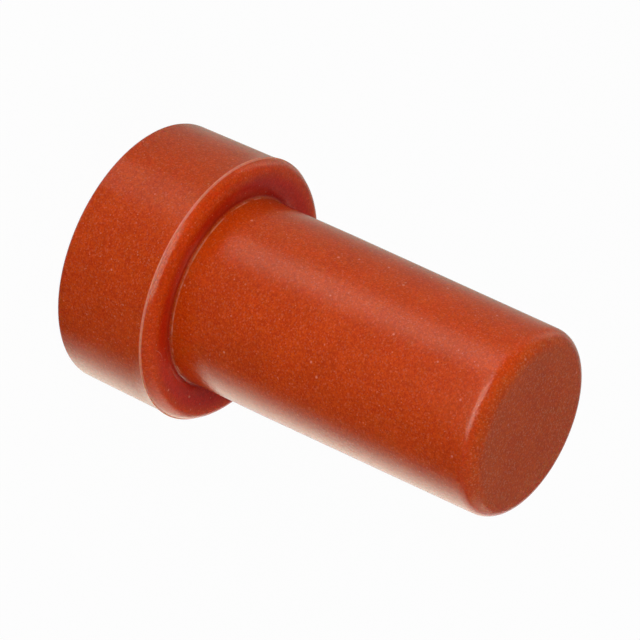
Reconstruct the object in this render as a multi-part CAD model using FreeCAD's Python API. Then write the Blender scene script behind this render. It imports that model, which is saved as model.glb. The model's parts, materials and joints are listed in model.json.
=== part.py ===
import FreeCAD, Part
import math
import os

# Sealing plug for an unused contact cavity of a connector: a moulded peg with a stepped head.
# The plug stands on its head. Z is its axis, Z = 0 is the head's flat back face, and the
# free tip of the shank is at the top. All sizes are in millimetres.

# Driving dimensions
OVERALL_LENGTH = 12.5         # back face of the head to the tip
HEAD_LENGTH = 3.14            # back face to the shoulder's crown, which seats on the cavity's seal
HEAD_BACK_DIAMETER = 7.24     # the head's side, carried down to the back face
RIDGE_DIAMETER = 7.36         # crest of the ridge that the mould's parting line leaves round the head
FRONT_DIAMETER = 7.30         # the rounded front where it leaves the ridge
SEAT_WIDTH = 0.10             # flat ring along the shoulder's crown
SHANK_DIAMETER = 5.22         # straight sealing land, which begins level with the shoulder's crown
LAND_END = 5.6                # height at which the land gives way to the drafted stretch
DRAFT_ANGLE = 0.5             # release angle of the head's side and of the shank, degrees a side

# Edge details
BACK_EDGE_RADIUS = 0.14       # soft edge round the head's back face
FLARE_START = 2.45            # height at which the head's side begins to flare out to the ridge
RIDGE_HEIGHT = 2.85           # height of the ridge's crest
RIDGE_RADIUS = 0.02           # rounding of the ridge's crest
FRONT_LEAN_ANGLE = 12.0       # how far the front leans in where it leaves the ridge, degrees
ROOT_START = 3.05             # height at which the shank leaves the shoulder's fillet
ROOT_RADIUS = 0.06            # that fillet
ROOT_FLARE_ANGLE = 2.0        # how the shank widens from the land down to its fillet, degrees a side
TIP_RADIUS = 0.45             # lead-in rounding of the tip

# Worked out from the dimensions above
HEAD_BACK_RADIUS = HEAD_BACK_DIAMETER / 2
RIDGE_CREST = RIDGE_DIAMETER / 2
FRONT_EDGE = FRONT_DIAMETER / 2
SHANK_RADIUS = SHANK_DIAMETER / 2
DRAFT = math.radians(DRAFT_ANGLE)
FRONT_LEAN = math.radians(FRONT_LEAN_ANGLE)
ROOT_FLARE = math.radians(ROOT_FLARE_ANGLE)

# Angles in the section plane, counted from the outward radius towards the tip
OUTWARD = 0.0
TO_TIP = math.pi / 2
TO_BACK = -math.pi / 2
INWARD = math.pi

MEETING_GAP = 1e-6            # two ends closer than this are one point


def point(radius, height):
    """A point of the half section."""
    return FreeCAD.Vector(radius, 0, height)


def direction(angle):
    """The unit vector at an angle in the section plane."""
    return point(math.cos(angle), math.sin(angle))


def head_side(height):
    """Radius of the head's drafted side, which widens from the back face to the front rim."""
    return HEAD_BACK_RADIUS + height * math.tan(DRAFT)


def shank_side(height):
    """Radius of the shank's drafted stretch, which narrows from the land to the tip."""
    return SHANK_RADIUS - (height - LAND_END) * math.tan(DRAFT)


def arc(centre, radius, first_angle, last_angle):
    """The arc of a circle in the section plane, from one angle to another."""
    angles = (first_angle, (first_angle + last_angle) / 2, last_angle)
    return Part.Arc(*(centre + radius * direction(angle) for angle in angles)).toShape()


def ends(station):
    """The first and last point of a corner or of an arc."""
    if isinstance(station, FreeCAD.Vector):
        return station, station
    return station.valueAt(station.FirstParameter), station.valueAt(station.LastParameter)


def back_edge():
    """The rounding between the back face and the head's side."""
    reach = head_side(BACK_EDGE_RADIUS) - BACK_EDGE_RADIUS / math.cos(DRAFT)
    centre = point(reach, BACK_EDGE_RADIUS)
    return arc(centre, BACK_EDGE_RADIUS, TO_BACK, OUTWARD - DRAFT)


def parting_ridge():
    """The ridge that the mould's parting line leaves: a hollow flare and the rounding of its crest.

    The flare leaves the head's side without a corner. Its radius is the one at which it also
    runs into the rounding without a corner, where the two circles touch from outside. The ridge's
    front is a ledge, so the rounding ends facing the tip.
    """
    side_normal = direction(OUTWARD - DRAFT)
    flare_start = point(head_side(FLARE_START), FLARE_START)
    crest_centre = point(RIDGE_CREST - RIDGE_RADIUS, RIDGE_HEIGHT)
    reach = flare_start - crest_centre
    flare_radius = (reach.dot(reach) - RIDGE_RADIUS ** 2) / (2 * (RIDGE_RADIUS - reach.dot(side_normal)))
    flare_centre = flare_start + flare_radius * side_normal
    across = flare_centre - crest_centre
    meeting_angle = math.atan2(across.z, across.x)
    flare = arc(flare_centre, flare_radius, INWARD - DRAFT, INWARD + meeting_angle)
    crest = arc(crest_centre, RIDGE_RADIUS, meeting_angle, TO_TIP)
    return flare, crest


def shoulder():
    """The crowned shoulder, from the ridge's ledge over the crown and down to the shank's root.

    The front leaves the ledge with a lean and turns to the crown on one rounding, which takes up the
    height between them. Past the flat ring the shoulder dips on a wide arc. The radius of that arc is
    the one at which it runs into the root fillet without a corner.
    """
    front_start = point(FRONT_EDGE, RIDGE_HEIGHT + RIDGE_RADIUS)
    front_radius = (HEAD_LENGTH - front_start.z) / (1 - math.sin(FRONT_LEAN))
    front_centre = front_start - front_radius * direction(FRONT_LEAN)
    front = arc(front_centre, front_radius, FRONT_LEAN, TO_TIP)

    dip_start = ends(front)[1] - point(SEAT_WIDTH, 0)
    root_end = point(SHANK_RADIUS + (HEAD_LENGTH - ROOT_START) * math.tan(ROOT_FLARE), ROOT_START)
    root_centre = root_end + ROOT_RADIUS * direction(ROOT_FLARE)
    reach = dip_start - root_centre
    dip_radius = (reach.dot(reach) - ROOT_RADIUS ** 2) / (2 * (reach.z + ROOT_RADIUS))
    dip_centre = dip_start - point(0, dip_radius)
    across = root_centre - dip_centre
    root_angle = math.atan2(across.z, across.x)
    dip = arc(dip_centre, dip_radius, TO_TIP, root_angle)
    root = arc(root_centre, ROOT_RADIUS, root_angle - INWARD, ROOT_FLARE - INWARD)
    return front, dip, root


def tip_edge():
    """The rounding between the shank's drafted stretch and the flat tip."""
    height = OVERALL_LENGTH - TIP_RADIUS
    centre = point(shank_side(height) - TIP_RADIUS / math.cos(DRAFT), height)
    return arc(centre, TIP_RADIUS, OUTWARD + DRAFT, TO_TIP)


def closed_outline(stations):
    """One closed wire through corners and arcs in turn, with straight lines across the gaps."""
    edges = []
    for station, following in zip(stations, stations[1:] + stations[:1]):
        if isinstance(station, Part.Shape):
            edges.append(station)
        start = ends(station)[1]
        finish = ends(following)[0]
        if start.distanceToPoint(finish) > MEETING_GAP:
            edges.append(Part.makeLine(start, finish))
    return Part.Wire(edges)


def sealing_plug():
    """The whole plug: its half section turned once round the axis."""
    back_centre = point(0, 0)
    land = (point(SHANK_RADIUS, HEAD_LENGTH), point(SHANK_RADIUS, LAND_END))
    tip_centre = point(0, OVERALL_LENGTH)
    outline = closed_outline(
        [back_centre, back_edge(), *parting_ridge(), *shoulder(), *land, tip_edge(), tip_centre]
    )
    return Part.Face(outline).revolve(back_centre, tip_centre, 360)


os.makedirs("parts", exist_ok=True)
sealing_plug().exportStep("parts/sealing_plug.step")
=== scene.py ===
import json
import math

import bpy
from mathutils import Matrix, Vector


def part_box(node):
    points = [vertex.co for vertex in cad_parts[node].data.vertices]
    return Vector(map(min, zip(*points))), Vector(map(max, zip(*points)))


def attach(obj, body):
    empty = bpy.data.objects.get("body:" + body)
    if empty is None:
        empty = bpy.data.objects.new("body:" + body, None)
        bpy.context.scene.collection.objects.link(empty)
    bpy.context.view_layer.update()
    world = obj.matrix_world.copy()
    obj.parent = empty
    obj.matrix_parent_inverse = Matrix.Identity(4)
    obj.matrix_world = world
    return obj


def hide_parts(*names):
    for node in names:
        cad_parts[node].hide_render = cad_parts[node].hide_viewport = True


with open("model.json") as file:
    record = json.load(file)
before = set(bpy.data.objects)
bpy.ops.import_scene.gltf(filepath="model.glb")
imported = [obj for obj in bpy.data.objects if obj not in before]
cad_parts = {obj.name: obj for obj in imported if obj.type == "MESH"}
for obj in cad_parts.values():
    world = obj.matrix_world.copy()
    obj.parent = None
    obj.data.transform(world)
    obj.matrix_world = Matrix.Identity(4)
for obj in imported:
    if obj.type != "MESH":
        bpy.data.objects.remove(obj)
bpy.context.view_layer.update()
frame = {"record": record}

# Connector sealing plug: a moulded peg that stands on its head, with its axis along Z.
# All lengths are in metres.
MM = 0.001

# Sizes read from the frame
PLUG_NODE = "sealing_plug"
MOUNTS = {mount["name"]: mount for mount in frame["record"]["mounts"]}
SHANK_MOUNT = MOUNTS["shank"]
OVERALL_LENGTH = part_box(PLUG_NODE)[1].z
RIDGE_CREST_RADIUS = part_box(PLUG_NODE)[1].x
HEAD_LENGTH = MOUNTS["shoulder"]["pos_m"][2]
SHANK_RADIUS = SHANK_MOUNT["dims"]["r_mm"] * MM
LAND_END = SHANK_MOUNT["pos_m"][2] + SHANK_MOUNT["dims"]["length_mm"] / 2 * MM

# Sizes of the moulding that the frame does not list
HEAD_BACK_RADIUS = 3.62 * MM
DRAFT = math.radians(0.5)
BACK_EDGE_ROUNDING = 0.14 * MM
FLARE_START = 2.45 * MM
RIDGE_HEIGHT = 2.85 * MM
RIDGE_ROUNDING = 0.02 * MM
FRONT_RADIUS = 3.65 * MM
FRONT_LEAN = math.radians(12)
SEAT_WIDTH = 0.10 * MM
ROOT_START = 3.05 * MM
ROOT_FLARE = math.radians(2)
ROOT_FILLET = 0.06 * MM
TIP_ROUNDING = 0.45 * MM
LEDGE_HEIGHT = RIDGE_HEIGHT + RIDGE_ROUNDING

# How finely the plug is meshed
SIDES_ROUND = 224
STEPS_IN_ROUNDING = 14
LONGEST_RUN = 0.16 * MM
SEAM_GAP = 0.001 * MM


class Wire:
    """One output of a node. Arithmetic on wires and numbers adds Math nodes to the same tree."""

    def __init__(self, board, socket):
        self.board = board
        self.socket = socket

    def out(self, name):
        """Another output of the same node."""
        return Wire(self.board, self.socket.node.outputs[name])

    def __add__(self, other):
        return self.board.math("ADD", self, other)

    def __radd__(self, other):
        return self.board.math("ADD", other, self)

    def __sub__(self, other):
        return self.board.math("SUBTRACT", self, other)

    def __rsub__(self, other):
        return self.board.math("SUBTRACT", other, self)

    def __mul__(self, other):
        return self.board.math("MULTIPLY", self, other)

    def __rmul__(self, other):
        return self.board.math("MULTIPLY", other, self)

    def __truediv__(self, other):
        return self.board.math("DIVIDE", self, other)


class Board:
    """A node tree that is filled from Python."""

    def __init__(self, tree):
        self.tree = tree

    def node(self, kind, settings=None, inputs=None, output=0):
        """Adds a node: its settings first, then the values or wires of its sockets. Gives one output."""
        node = self.tree.nodes.new(kind)
        for name, value in (settings or {}).items():
            if name == "index_switch_items":
                while len(node.index_switch_items) < value:
                    node.index_switch_items.new()
            else:
                setattr(node, name, value)
        for name, value in (inputs or {}).items():
            if isinstance(value, Wire):
                self.tree.links.new(value.socket, node.inputs[name])
            else:
                node.inputs[name].default_value = value
        return Wire(self, node.outputs[output]) if len(node.outputs) else None

    def math(self, operation, *values):
        return self.node("ShaderNodeMath", {"operation": operation}, dict(enumerate(values)))

    def vector(self, x=0.0, y=0.0, z=0.0):
        return self.node("ShaderNodeCombineXYZ", None, {"X": x, "Y": y, "Z": z})

    def vector_math(self, operation, *values, output=0):
        return self.node("ShaderNodeVectorMath", {"operation": operation}, dict(enumerate(values)), output)

    def ramp(self, value, low, high, start=0.0, end=1.0):
        """A smooth step from start to end while the value goes from low to high."""
        sockets = {"Value": value, "From Min": low, "From Max": high, "To Min": start, "To Max": end}
        return self.node("ShaderNodeMapRange", {"interpolation_type": "SMOOTHSTEP"}, sockets)

    def mix_colours(self, share, first, second):
        settings = {"data_type": "RGBA", "clamp_factor": True}
        return self.node("ShaderNodeMix", settings, {0: share, 6: first, 7: second}, output=2)

    def tint(self, colour, tint):
        return self.vector_math("MULTIPLY", colour, tint)

    def red(self, colour):
        """The red share of a colour. Green and blue are further outputs of its node."""
        return self.node("ShaderNodeSeparateColor", None, {"Color": colour})


def ridge_corners():
    """Where the straight tangents of the ridge's arcs meet.

    The flare leaves the head's drafted side and runs into the crest's rounding, both without a corner.
    """
    side_normal = Vector((math.cos(DRAFT), -math.sin(DRAFT)))
    flare_start = Vector((HEAD_BACK_RADIUS + FLARE_START * math.tan(DRAFT), FLARE_START))
    crest_centre = Vector((RIDGE_CREST_RADIUS - RIDGE_ROUNDING, RIDGE_HEIGHT))
    reach = flare_start - crest_centre
    rise = RIDGE_ROUNDING - reach.dot(side_normal)
    flare_rounding = (reach.dot(reach) - RIDGE_ROUNDING ** 2) / (2 * rise)
    across = flare_start + flare_rounding * side_normal - crest_centre
    lean = -math.atan2(across.y, across.x)
    run_up = flare_rounding * math.tan((lean - DRAFT) / 2)
    flare_corner = flare_start + run_up * Vector((math.sin(DRAFT), math.cos(DRAFT)))
    return {
        "Flare height": flare_corner.y,
        "Flare rounding": flare_rounding,
        "Ridge corner radius": flare_corner.x + (LEDGE_HEIGHT - flare_corner.y) * math.tan(lean),
    }


def shoulder_corners():
    """Where the straight tangents of the crowned shoulder's arcs meet.

    The front leaves the ridge's ledge with a lean and turns to the crown on one rounding. Past the
    flat ring the shoulder dips on a wide arc, which runs into the root fillet without a corner.
    """
    front_rounding = (HEAD_LENGTH - LEDGE_HEIGHT) / (1 - math.sin(FRONT_LEAN))
    front_run = front_rounding * math.tan((math.pi / 2 - FRONT_LEAN) / 2)
    crown_radius = FRONT_RADIUS - front_rounding * math.cos(FRONT_LEAN)

    root_end_radius = SHANK_RADIUS + (HEAD_LENGTH - ROOT_START) * math.tan(ROOT_FLARE)
    dip_start_radius = crown_radius - SEAT_WIDTH
    reach_in = dip_start_radius - root_end_radius - ROOT_FILLET * math.cos(ROOT_FLARE)
    reach_down = HEAD_LENGTH - ROOT_START - ROOT_FILLET * math.sin(ROOT_FLARE)
    dip_rounding = (reach_in ** 2 + reach_down ** 2 - ROOT_FILLET ** 2) / (2 * (reach_down + ROOT_FILLET))
    dip_turn = math.atan2(reach_in, dip_rounding - reach_down)
    dip_corner_radius = dip_start_radius - dip_rounding * math.tan(dip_turn / 2)
    dip_slope = math.tan(dip_turn)
    root_depth = (dip_corner_radius - SHANK_RADIUS) * dip_slope / (1 + math.tan(ROOT_FLARE) * dip_slope)
    return {
        "Front corner radius": crown_radius + front_run,
        "Front rounding": front_rounding,
        "Dip corner radius": dip_corner_radius,
        "Dip rounding": dip_rounding,
        "Root corner radius": SHANK_RADIUS + root_depth * math.tan(ROOT_FLARE),
        "Root corner height": HEAD_LENGTH - root_depth,
    }


# The turned section's sizes, as the inputs of its node tree
SECTION_SIZES = {
    "Overall length": OVERALL_LENGTH,
    "Head length": HEAD_LENGTH,
    "Head back radius": HEAD_BACK_RADIUS,
    "Draft slope": math.tan(DRAFT),
    "Back edge rounding": BACK_EDGE_ROUNDING,
    "Ridge rounding": RIDGE_ROUNDING,
    "Ledge height": LEDGE_HEIGHT,
    "Front radius": FRONT_RADIUS,
    "Shank radius": SHANK_RADIUS,
    "Root fillet": ROOT_FILLET,
    "Land end": LAND_END,
    "Tip rounding": TIP_ROUNDING,
    "Longest run": LONGEST_RUN,
    **ridge_corners(),
    **shoulder_corners(),
}


def pick_by_index(board, data_type, values):
    """A field that gives the values in turn to the points of a curve."""
    index = board.node("GeometryNodeInputIndex")
    settings = {"data_type": data_type, "index_switch_items": len(values)}
    return board.node("GeometryNodeIndexSwitch", settings, dict(enumerate([index, *values])))


def rounded_section(board, sizes):
    """The plug's half section: a line through its corners, with each corner rounded."""
    length = sizes.out("Overall length")
    head = sizes.out("Head length")
    back = sizes.out("Head back radius")
    slope = sizes.out("Draft slope")
    flare = sizes.out("Flare height")
    ledge = sizes.out("Ledge height")
    front = sizes.out("Front radius")
    shank = sizes.out("Shank radius")
    land_end = sizes.out("Land end")
    root = board.vector(sizes.out("Root corner radius"), sizes.out("Root corner height"))
    corners = [
        (board.vector(0.0, 0.0), 0.0),
        (board.vector(back, 0.0), sizes.out("Back edge rounding")),
        (board.vector(back + flare * slope, flare), sizes.out("Flare rounding")),
        (board.vector(sizes.out("Ridge corner radius"), ledge), sizes.out("Ridge rounding")),
        (board.vector(front, ledge), 0.0),
        (board.vector(sizes.out("Front corner radius"), head), sizes.out("Front rounding")),
        (board.vector(sizes.out("Dip corner radius"), head), sizes.out("Dip rounding")),
        (root, sizes.out("Root fillet")),
        (board.vector(shank, head), 0.0),
        (board.vector(shank, land_end), 0.0),
        (board.vector(shank - (length - land_end) * slope, length), sizes.out("Tip rounding")),
        (board.vector(0.0, length), 0.0),
    ]
    places = pick_by_index(board, "VECTOR", [place for place, rounding in corners])
    roundings = pick_by_index(board, "FLOAT", [rounding for place, rounding in corners])
    points = board.node("GeometryNodePoints", None, {"Count": len(corners), "Position": places})
    line = board.node("GeometryNodePointsToCurves", None, {"Points": points})
    line = board.node("GeometryNodeCurveSplineType", {"spline_type": "POLY"}, {"Curve": line})
    return board.node(
        "GeometryNodeFilletCurve",
        {"mode": "POLY"},
        {"Curve": line, "Radius": roundings, "Count": STEPS_IN_ROUNDING, "Limit Radius": False},
    )


def divided_evenly(board, line, longest):
    """The same line with its long straight runs cut into short ones."""
    here = board.node("GeometryNodeInputPosition")
    index = board.node("GeometryNodeInputIndex")
    following = board.node(
        "GeometryNodeFieldAtIndex",
        {"data_type": "FLOAT_VECTOR", "domain": "POINT"},
        {"Value": here, "Index": index + 1},
    )
    run = board.vector_math("DISTANCE", here, following, output="Value")
    count = board.node("GeometryNodeAttributeDomainSize", {"component": "CURVE"}, {"Geometry": line})
    not_last = board.math("LESS_THAN", index, count - 1.5)
    cuts = board.math("FLOOR", run / longest) * not_last
    return board.node("GeometryNodeSubdivideCurve", None, {"Curve": line, "Cuts": cuts})


def turned_plug_tree(finish):
    """The node tree of the plug: its half section, turned once round the axis."""
    tree = bpy.data.node_groups.new("turned_plug", "GeometryNodeTree")
    tree.interface.new_socket("Geometry", in_out="OUTPUT", socket_type="NodeSocketGeometry")
    for name in SECTION_SIZES:
        tree.interface.new_socket(name, in_out="INPUT", socket_type="NodeSocketFloat")
    board = Board(tree)
    sizes = board.node("NodeGroupInput")
    section = divided_evenly(board, rounded_section(board, sizes), sizes.out("Longest run"))

    # The path is a circle of the shank's own radius, and the section is moved in by as much.
    # A section that is carried round such a path points its heights down, so they are turned over first.
    shank = sizes.out("Shank radius")
    path = board.node(
        "GeometryNodeCurvePrimitiveCircle",
        {"mode": "RADIUS"},
        {"Resolution": SIDES_ROUND, "Radius": shank},
    )
    path = board.node("GeometryNodeSetCurveNormal", {"mode": "Z_UP"}, {"Curve": path})
    moved = board.node(
        "GeometryNodeTransform",
        None,
        {"Geometry": section, "Translation": board.vector(0.0 - shank, 0.0), "Scale": (1.0, -1.0, 1.0)},
    )
    turned = board.node("GeometryNodeCurveToMesh", None, {"Curve": path, "Profile Curve": moved})
    closed = board.node("GeometryNodeMergeByDistance", None, {"Geometry": turned, "Distance": SEAM_GAP})
    outward = board.node("GeometryNodeFlipFaces", None, {"Mesh": closed})
    smooth = board.node("GeometryNodeSetShadeSmooth", None, {"Geometry": outward, "Shade Smooth": True})
    realized = board.node("GeometryNodeRealizeInstances", None, {"Geometry": smooth})
    dressed = board.node("GeometryNodeSetMaterial", None, {"Geometry": realized, "Material": finish})
    board.node("NodeGroupOutput", None, {"Geometry": dressed})
    return tree


def plain_mesh_object(name, tree, values):
    """Runs a node tree on an empty mesh with the given sizes and keeps the result as a plain mesh."""
    carrier = bpy.data.objects.new(name + "_carrier", bpy.data.meshes.new(name + "_carrier"))
    bpy.context.scene.collection.objects.link(carrier)
    modifier = carrier.modifiers.new("build", "NODES")
    modifier.node_group = tree
    inputs = [item for item in tree.interface.items_tree if item.in_out == "INPUT"]
    identifiers = {item.name: item.identifier for item in inputs}
    for size, value in values.items():
        modifier[identifiers[size]] = value
    evaluated = carrier.evaluated_get(bpy.context.evaluated_depsgraph_get())
    mesh = bpy.data.meshes.new_from_object(evaluated)
    mesh.name = name
    carrier.modifiers.remove(modifier)
    bpy.data.objects.remove(carrier)
    piece = bpy.data.objects.new(name, mesh)
    bpy.context.scene.collection.objects.link(piece)
    return piece


# The moulded finish. Its patterns are sized in millimetres, and so are these places on the plug.
TIP_MM = OVERALL_LENGTH / MM
RIDGE_MM = RIDGE_HEIGHT / MM
FRONT_MM = FRONT_RADIUS / MM
ROOT_MM = ROOT_START / MM
SHANK_MM = SHANK_RADIUS / MM
WHITE = (1.0, 1.0, 1.0, 1.0)

# The plastic: two shades in soft clouds and grain, and the tints that a fine grain gives them
TERRACOTTA_DEEP = (0.455, 0.0415, 0.0010, 1.0)
TERRACOTTA_LIGHT = (0.545, 0.0570, 0.0016, 1.0)
FINE_DEEP = (0.84, 0.74, 0.60, 1.0)
FINE_LIGHT = (1.16, 1.26, 1.40, 1.0)
CLOUD_SIZE = 1.3
GRAIN_SIZE = 0.10
FINE_GRAIN_SIZE = 0.036
SHADE_CONTRAST = 1.2
PATTERN_TURN = (0.61, 0.37, 0.23)

# How it takes the light
ROUGHNESS = 0.19
ROUGHNESS_CONTRAST = 0.08
REFRACTIVE_INDEX = 1.45
SCATTER_BY_COLOUR = (1.0, 0.25, 0.08)
SCATTER_DEPTH = 0.45 * MM
BUMP_DEPTH = 0.003 * MM

# A film of dust on some of the fine grains, stronger on the tip's face. Towards the face's edge it
# thickens into a painted glow, a paler rim that stands for light there
# The pale colour of the dust, which also paints the glow at the tip's rim and the glint at the root
PALE_DUST_AND_GLINT = (0.68, 0.27, 0.17, 1.0)
FILMED_GRAINS = (0.75, 1.0)
FILM_STRENGTH = 0.15
FILM_ADDED_ON_TIP = 0.10
TIP_FACE_HEIGHTS = (TIP_MM - 0.30, TIP_MM - 0.05)
TIP_RIM_GLOW_RADII = (1.0, 2.0)
TIP_RIM_PAINTED_GLOW = 0.03
TIP_TINT = (1.0, 1.18, 1.0, 1.0)

# Tints that paint shade on the shoulder, with the shank's red cast: deep in the groove round the shank,
# slight out on the crown
PAINTED_GROOVE_SHADE = (0.92, 0.30, 0.44, 1.0)
PAINTED_CROWN_SHADE = (1.0, 0.92, 0.88, 1.0)
SHOULDER_SHADE_HEIGHTS = (RIDGE_MM + 0.05, RIDGE_MM + 0.15)
SHOULDER_SHADE_RADII = (SHANK_MM + 0.01, SHANK_MM + 0.06)
GROOVE_TO_CROWN_SHADE_RADII = (SHANK_MM + 0.48, SHANK_MM + 0.82)

# A painted highlight: a pale line along the ridge's crest. A band has a lower bound, an upper bound and a
# soft edge.
CREST_HIGHLIGHT_BAND = (RIDGE_MM - 0.03, RIDGE_MM + 0.045, 0.015)
CREST_HIGHLIGHT_RADII = (FRONT_MM - 0.02, FRONT_MM - 0.005)
PAINTED_CREST_HIGHLIGHT = (0.66, 0.27, 0.18, 1.0)
CREST_HIGHLIGHT_STRENGTH = 0.40
CREST_HIGHLIGHT_ADDED_BY_GRAIN = 0.6

# A painted glint: a broken pale line at the shank's root
ROOT_GLINT_BAND = (ROOT_MM - 0.02, ROOT_MM + 0.035, 0.012)
ROOT_GLINT_RADII = (SHANK_MM + 0.02, SHANK_MM + 0.04)
ROOT_GLINT_BREAK_SIZE = 0.5
ROOT_GLINT_BREAKS = (0.40, 0.62)
ROOT_GLINT_STRENGTH = 0.6

# Specks of dust: their spacing, their largest radius, the share of places that have one, and how
# strongly it shows
FINE_SPECKS = (0.12, 0.030, 0.40, 0.42)
BOLD_SPECKS = (0.30, 0.050, 0.40, 0.60)
DARK_SPECKS = (0.50, 0.036, 0.15, 0.55)
DARK_DUST = (0.16, 0.035, 0.030, 1.0)
SPECK_CORE = 0.35             # share of a speck's radius that shows in full
LUCK_SPREAD = 97.0            # turns the red of a cell into another random number

# Hairs of lint, whose cores show in full
LINT = (0.62, 0.28, 0.22, 1.0)
LINT_STRENGTH = 0.3
LINT_SPACING = 1.2
LINT_SHARE = 0.12
LINT_REACH = 0.26
LINT_CORE_REACH = LINT_REACH * 0.7
LINT_HALF_WIDTH = 0.013
LINT_CORE_HALF_WIDTH = LINT_HALF_WIDTH * 0.4
LINT_BEND = 1.6


def noise(board, place, size, detail=2.0):
    """Soft random values round one half, with patches of about the given size."""
    return board.node("ShaderNodeTexNoise", None, {"Vector": place, "Scale": 1 / size, "Detail": detail})


def swing(noise_value, contrast):
    """Random values round one half, turned into values round zero."""
    return (noise_value - 0.5) * contrast


def cells(board, place, size):
    """Random cells of about the given size: the distance to a cell's middle, its colour and place."""
    return board.node("ShaderNodeTexVoronoi", {"feature": "F1"}, {"Vector": place, "Scale": 1 / size})


def band(board, value, low, high, edge):
    """A mask of the places where a value lies between two bounds, with soft edges inside them."""
    return board.ramp(value, low, low + edge) * board.ramp(value, high - edge, high, 1.0, 0.0)


def specks(board, place, spacing, size, share, strength):
    """A mask of round specks that lie at random, each with a size of its own."""
    spots = cells(board, place, spacing)
    luck = board.math("FRACT", board.red(spots.out("Color")) * LUCK_SPREAD)
    radius = board.ramp(luck, 1 - share, 1.0, 0.0, size)
    return board.ramp(spots * spacing, radius * SPECK_CORE, radius, strength, 0.0)


def lint(board, place):
    """A mask of short curved hairs, each where a small bent sheet of its own crosses the surface."""
    spots = cells(board, place, LINT_SPACING)
    centre = spots.out("Position")
    luck = board.node("ShaderNodeTexWhiteNoise", None, {"Vector": centre})
    offset = board.vector_math("SUBTRACT", place, centre)
    facing = board.vector_math("SUBTRACT", spots.out("Color"), (0.5, 0.5, 0.5))
    facing = board.vector_math("NORMALIZE", facing)
    lay = board.vector_math("CROSS_PRODUCT", facing, (0, 0, 1))
    along = board.vector_math("DOT_PRODUCT", offset, lay, output="Value")
    across = board.vector_math("DOT_PRODUCT", offset, facing, output="Value") - along * along * LINT_BEND
    thin = board.ramp(board.math("ABSOLUTE", across), LINT_CORE_HALF_WIDTH, LINT_HALF_WIDTH, 1.0, 0.0)
    distance = board.vector_math("LENGTH", offset, output="Value")
    near = board.ramp(distance, LINT_CORE_REACH, LINT_REACH, 1.0, 0.0)
    return thin * near * board.math("LESS_THAN", luck, LINT_SHARE)


class PlugSurface:
    """Where a point lies on the plug, in millimetres, and the plastic's random patterns there."""

    def __init__(self, board):
        here = board.node("ShaderNodeTexCoord", None, None, "Object")
        to_mm = (1 / MM, 1 / MM, 1 / MM)
        measured = board.node("ShaderNodeMapping", None, {"Vector": here, "Scale": to_mm})
        level = board.vector_math("MULTIPLY", measured, (1.0, 1.0, 0.0))
        self.height = board.node("ShaderNodeSeparateXYZ", None, {"Vector": measured}, "Z")
        self.radius = board.vector_math("LENGTH", level, output="Value")
        self.place = board.node("ShaderNodeMapping", None, {"Vector": measured, "Rotation": PATTERN_TURN})
        self.clouds = noise(board, self.place, CLOUD_SIZE)
        self.grain = noise(board, self.place, GRAIN_SIZE, 1.0)
        self.fine_cells = cells(board, self.place, FINE_GRAIN_SIZE)
        self.fine_grain = board.red(self.fine_cells.out("Color"))


def plain_plastic(board, spot):
    """The clean plastic's colour."""
    shade = swing(spot.clouds, SHADE_CONTRAST) + swing(spot.grain, SHADE_CONTRAST) + 0.5
    body = board.mix_colours(shade, TERRACOTTA_DEEP, TERRACOTTA_LIGHT)
    return board.tint(body, board.mix_colours(spot.fine_grain, FINE_DEEP, FINE_LIGHT))


def add_dust_film_and_rim_glow(board, spot, body):
    """Lays the film of dust on the grains and on the tip's face, and paints a pale glow towards the face's
    edge.
    """
    tip_face = board.ramp(spot.height, *TIP_FACE_HEIGHTS)
    film_and_rim_glow = board.ramp(spot.fine_grain.out("Green"), *FILMED_GRAINS)
    film_and_rim_glow = film_and_rim_glow * (FILM_STRENGTH + FILM_ADDED_ON_TIP * tip_face)
    # Painted glow: the film grows paler towards the tip face's edge, standing for light there
    film_and_rim_glow = film_and_rim_glow + tip_face * board.ramp(spot.radius, *TIP_RIM_GLOW_RADII, 0.0, TIP_RIM_PAINTED_GLOW)
    body = board.mix_colours(film_and_rim_glow, body, PALE_DUST_AND_GLINT)
    return board.tint(body, board.mix_colours(tip_face, WHITE, TIP_TINT))


def add_painted_shoulder_shade(board, spot, body):
    """Paints shade on the shoulder: deep and red in the groove round the shank, slight on the crown."""
    shoulder = board.ramp(spot.height, *SHOULDER_SHADE_HEIGHTS) * board.ramp(spot.radius, *SHOULDER_SHADE_RADII)
    outward = board.ramp(spot.radius, *GROOVE_TO_CROWN_SHADE_RADII)
    tint = board.mix_colours(outward, PAINTED_GROOVE_SHADE, PAINTED_CROWN_SHADE)
    return board.tint(body, board.mix_colours(shoulder, WHITE, tint))


def add_painted_crest_highlight(board, spot, body):
    """Paints a pale highlight along the ridge's crest, uneven with the grain."""
    crest = band(board, spot.height, *CREST_HIGHLIGHT_BAND) * board.ramp(spot.radius, *CREST_HIGHLIGHT_RADII)
    return board.mix_colours(crest * (CREST_HIGHLIGHT_STRENGTH + CREST_HIGHLIGHT_ADDED_BY_GRAIN * spot.grain), body, PAINTED_CREST_HIGHLIGHT)


def add_painted_root_glint(board, spot, body):
    """Paints a glint: a broken pale line at the shank's root."""
    root = band(board, spot.height, *ROOT_GLINT_BAND) * board.ramp(spot.radius, *ROOT_GLINT_RADII, 1.0, 0.0)
    breaks = noise(board, spot.place, ROOT_GLINT_BREAK_SIZE)
    breaks = board.ramp(breaks, *ROOT_GLINT_BREAKS, 0.0, ROOT_GLINT_STRENGTH)
    return board.mix_colours(root * breaks, body, PALE_DUST_AND_GLINT)


def add_dust(board, spot, body):
    """Scatters pale and dark specks and hairs of lint."""
    fine = specks(board, spot.place, *FINE_SPECKS)
    bold = specks(board, spot.place, *BOLD_SPECKS)
    dark = specks(board, spot.place, *DARK_SPECKS)
    body = board.mix_colours(board.math("MAXIMUM", fine, bold), body, PALE_DUST_AND_GLINT)
    body = board.mix_colours(dark, body, DARK_DUST)
    return board.mix_colours(lint(board, spot.place) * LINT_STRENGTH, body, LINT)


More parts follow.
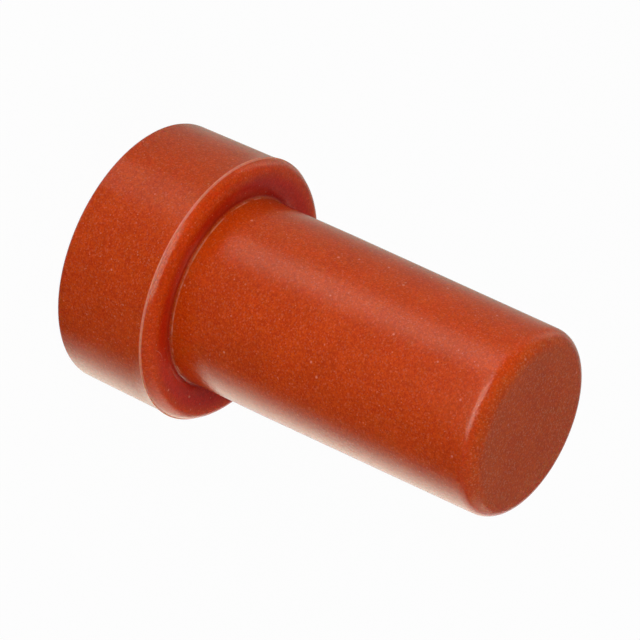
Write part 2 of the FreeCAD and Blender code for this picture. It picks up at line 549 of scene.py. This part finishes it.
def terracotta_plastic():
    """Waxy terracotta plastic: cloudy, finely grained and dusty, with painted shade on the shoulder,
    painted highlights along the ridge and the root, and a painted glow at the tip's rim.
    """
    material = bpy.data.materials.new("terracotta_plastic")
    material.use_nodes = True
    material.node_tree.nodes.clear()
    board = Board(material.node_tree)
    spot = PlugSurface(board)
    body = plain_plastic(board, spot)
    # Dust and grain are the plastic's own; the shoulder's shade, the highlights on the ridge and the root,
    # and the tip's rim glow are painted light
    for layer in (add_dust_film_and_rim_glow, add_painted_shoulder_shade, add_painted_crest_highlight, add_painted_root_glint, add_dust):
        body = layer(board, spot, body)

    relief = spot.grain + spot.fine_cells + spot.clouds
    bump = board.node("ShaderNodeBump", None, {"Height": relief, "Strength": 1.0, "Distance": BUMP_DEPTH})
    roughness = ROUGHNESS + swing(spot.clouds, ROUGHNESS_CONTRAST) + swing(spot.grain, ROUGHNESS_CONTRAST)
    shader = board.node(
        "ShaderNodeBsdfPrincipled",
        None,
        {
            "Base Color": body,
            "Roughness": roughness,
            "IOR": REFRACTIVE_INDEX,
            "Subsurface Weight": 1.0,
            "Subsurface Radius": SCATTER_BY_COLOUR,
            "Subsurface Scale": SCATTER_DEPTH,
            "Normal": bump,
        },
    )
    board.node("ShaderNodeOutputMaterial", None, {"Surface": shader})
    return material


# The camera, as it looks at the plug in the photograph
VIEW_ELEVATION = math.radians(29.09)
VIEW_ROLL = math.radians(114.58)
VIEW_DISTANCE = 102.8 * MM
PICTURE_WIDTH = 16.494 * MM
AIM_LEFT = 0.309 * MM
AIM_UP = 0.428 * MM
SENSOR_WIDTH = 36.0           # Blender takes the sensor and the lens in millimetres
NEAREST_SEEN = 1 * MM
FARTHEST_SEEN = 10.0


def add_camera():
    """A long lens on the plug's front, rolled so that the tip points to the lower right."""
    away = Vector((0.0, math.cos(VIEW_ELEVATION), -math.sin(VIEW_ELEVATION)))
    level_right = Vector((1.0, 0.0, 0.0))
    level_up = level_right.cross(away)
    right = level_right * math.cos(VIEW_ROLL) + level_up * math.sin(VIEW_ROLL)
    up = right.cross(away)
    middle = Vector((0.0, 0.0, OVERALL_LENGTH / 2))
    place = middle - away * VIEW_DISTANCE - right * AIM_LEFT + up * AIM_UP
    data = bpy.data.cameras.new("camera")
    data.sensor_width = SENSOR_WIDTH
    data.lens = SENSOR_WIDTH * VIEW_DISTANCE / PICTURE_WIDTH
    data.clip_start = NEAREST_SEEN
    data.clip_end = FARTHEST_SEEN
    camera = bpy.data.objects.new("camera", data)
    turn = Matrix((right, up, -away)).transposed()
    camera.matrix_world = Matrix.Translation(place) @ turn.to_4x4()
    bpy.context.scene.collection.objects.link(camera)
    bpy.context.scene.camera = camera


# The studio. Azimuths go from +X towards +Y and elevations up from the floor, in degrees.
CAMERA_SIDE = 270
FLOOR_COLOUR = (0.5, 0.5, 0.5, 1.0)
FLOOR_HALF_WIDTH = 2.0
FLOOR_DROP = 0.01 * MM
FLOOR_GLOW_SHARE = 0.97
WARM_WHITE = (1.0, 0.98, 0.82, 1.0)
WORLD_LEVEL = 0.32
WORLD_MIRRORED_LEVEL = 0.18

# The dark patch that reflections see: its level, the azimuth and elevation of its middle, and the
# cosines of the angles from there at which it begins and is full
WORLD_DARK_LEVEL = 0.06
WORLD_DARK_SIDE = (235, 60)
WORLD_DARK_EDGE = (0.30, 0.85)

# Cards that only reflections see, by the turns of the plug's side that mirror them to the camera:
# first and last turn in degrees, nearest and farthest reach on the floor, lowest and highest point of
# the wall at the farthest reach, brightness at the first turn and at the last
CARDS = {
    "back_left_card": (178, 199, 0, 250 * MM, 0, 0, 0.58, 0.48),
    "grey_card": (199, 264, 0, 250 * MM, 0, 0, 0.40, 0.28),
    "near_strip": (237, 253, 0, 5 * MM, 0, 0, 0.80, 0.80),
    "light_strip": (237, 252, 5 * MM, 60 * MM, 0, 0, 1.55, 1.55),
    "shade_card": (264, 319, 0, 250 * MM, 0, 0, 0.21, 0.09),
    "near_front_card": (256, 285, 17 * MM, 17 * MM, 9 * MM, 14 * MM, 3.5, 3.5),
    "front_card": (255, 287, 47 * MM, 250 * MM, 0, 55 * MM, 5.0, 5.0),
    "left_card": (200, 221, 240 * MM, 250 * MM, 0, 100 * MM, 1.0, 0.9),
    "near_table_edge": (318, 340, 0, 5 * MM, 0, 0, 0.06, 1.70),
    "near_table": (340, 354, 0, 5 * MM, 0, 0, 1.60, 1.25),
    "table_edge": (319, 337, 5 * MM, 14 * MM, 0, 11 * MM, 0.04, 1.85),
    "table_card": (337, 347, 5 * MM, 14 * MM, 0, 11 * MM, 1.92, 1.75),
    "table_end": (347, 354, 5 * MM, 60 * MM, 0, 0, 1.72, 1.60),
    "right_card": (332, 348, 120 * MM, 120 * MM, 20 * MM, 75 * MM, 0.5, 1.2),
}
CARD_STEPS = 12
CARD_GAP = 0.01 * MM

# Lamps that light the plug without a gleam: azimuth, elevation, distance, size, level
LAMPS = {
    "key": (251, 20, 60 * MM, 42 * MM, 0.81),
    "fill": (24, 8, 100 * MM, 60 * MM, 0.41),
    "back": (70, 24, 100 * MM, 60 * MM, 0.27),
}


def direction(azimuth, elevation=0.0):
    """The unit vector at an azimuth and an elevation in degrees."""
    azimuth = math.radians(azimuth)
    elevation = math.radians(elevation)
    level = Vector((math.cos(azimuth), math.sin(azimuth), 0.0))
    return level * math.cos(elevation) + Vector((0.0, 0.0, math.sin(elevation)))


def add_lamp(name, azimuth, elevation, distance, size, level):
    """A soft box that faces the plug. Level is how bright it makes a white face turned to it."""
    towards = direction(azimuth, elevation)
    data = bpy.data.lights.new(name, "AREA")
    data.shape = "SQUARE"
    data.size = size
    data.energy = level * math.pi ** 2 * distance ** 2
    lamp = bpy.data.objects.new(name, data)
    lamp.location = Vector((0.0, 0.0, OVERALL_LENGTH / 2)) + towards * distance
    lamp.rotation_euler = towards.to_track_quat("Z", "Y").to_euler()
    lamp.visible_camera = False
    lamp.visible_glossy = False
    bpy.context.scene.collection.objects.link(lamp)


def stage_sheet(name, places, faces, surface):
    """A sheet of the studio, with a surface that is made by a function of its board."""
    mesh = bpy.data.meshes.new(name)
    mesh.from_pydata(places, [], faces)
    material = bpy.data.materials.new(name)
    material.use_nodes = True
    material.node_tree.nodes.clear()
    board = Board(material.node_tree)
    board.node("ShaderNodeOutputMaterial", None, {"Surface": surface(board)})
    mesh.materials.append(material)
    sheet = bpy.data.objects.new(name, mesh)
    bpy.context.scene.collection.objects.link(sheet)
    return sheet


def add_floor():
    """A white floor: it glows white where it is looked at, and its matt share keeps the plug's shadow."""
    def surface(board):
        rays = board.node("ShaderNodeLightPath")
        seen = board.math("MAXIMUM", rays.out("Is Camera Ray"), rays.out("Is Glossy Ray"))
        seen = board.math("MAXIMUM", seen, rays.out("Is Transmission Ray"))
        matt = board.node("ShaderNodeBsdfDiffuse", None, {"Color": FLOOR_COLOUR})
        glow = board.node("ShaderNodeEmission", None, {"Color": WHITE, "Strength": 1.0})
        return board.node("ShaderNodeMixShader", None, {0: seen * FLOOR_GLOW_SHARE, 1: matt, 2: glow})

    half = FLOOR_HALF_WIDTH
    places = [(x * half, y * half, -FLOOR_DROP) for x, y in ((-1, -1), (1, -1), (1, 1), (-1, 1))]
    stage_sheet("floor", places, [range(4)], surface)


def add_card(name, lift, first, last, near, far, low, high, first_level, last_level):
    """A card on the floor, laid out along the lines on which the camera sees it mirrored in the plug."""
    places = []
    levels = []
    for step in range(CARD_STEPS + 1):
        turn = first + (last - first) * step / CARD_STEPS
        level = first_level + (last_level - first_level) * step / CARD_STEPS
        start = direction(turn) * HEAD_BACK_RADIUS
        along = direction(2 * turn - CAMERA_SIDE)
        corners = ((near, 0), (far, 0), (far, low), (far, high))
        for reach, rise in corners:
            places.append(start + along * reach + Vector((0.0, 0.0, lift + rise)))
            levels.append(level)
    faces = []
    row = len(corners)
    for step in range(CARD_STEPS):
        floor_near, floor_far, wall_low, wall_high = range(row * step, row * (step + 1))
        if far > near:
            faces.append((floor_near, floor_far, floor_far + row, floor_near + row))
        if high > low:
            faces.append((wall_low, wall_high, wall_high + row, wall_low + row))

    def surface(board):
        level = board.node("ShaderNodeAttribute", {"attribute_name": "level"}, None, "Fac")
        return board.node("ShaderNodeEmission", None, {"Color": WARM_WHITE, "Strength": level})

    card = stage_sheet(name, places, faces, surface)
    card.data.attributes.new("level", "FLOAT", "POINT").data.foreach_set("value", levels)
    card.visible_camera = False
    card.visible_diffuse = False
    card.visible_transmission = False
    card.visible_shadow = False


def add_world():
    """Soft light all round, with a dark patch high above the camera's side."""
    world = bpy.data.worlds.new("studio")
    bpy.context.scene.world = world
    world.use_nodes = True
    world.node_tree.nodes.clear()
    board = Board(world.node_tree)
    rays = board.node("ShaderNodeLightPath")
    look = board.node("ShaderNodeTexCoord", None, None, "Generated")
    facing = board.vector_math("DOT_PRODUCT", look, direction(*WORLD_DARK_SIDE), output="Value")
    mirrored = board.ramp(facing, *WORLD_DARK_EDGE, WORLD_MIRRORED_LEVEL, WORLD_DARK_LEVEL)
    strength = WORLD_LEVEL + rays.out("Is Glossy Ray") * (mirrored - WORLD_LEVEL)
    strength = strength + rays.out("Is Camera Ray") * (1 - strength)
    light = board.node("ShaderNodeBackground", None, {"Color": WHITE, "Strength": strength})
    board.node("ShaderNodeOutputWorld", None, {"Surface": light})


plug = plain_mesh_object("plug_body", turned_plug_tree(terracotta_plastic()), SECTION_SIZES)
add_floor()
for number, (name, card) in enumerate(CARDS.items()):
    add_card(name, number * CARD_GAP, *card)
for name, lamp in LAMPS.items():
    add_lamp(name, *lamp)
add_world()
add_camera()

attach(plug, "root")
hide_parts(PLUG_NODE)

bpy.context.scene.view_settings.view_transform = "Standard"
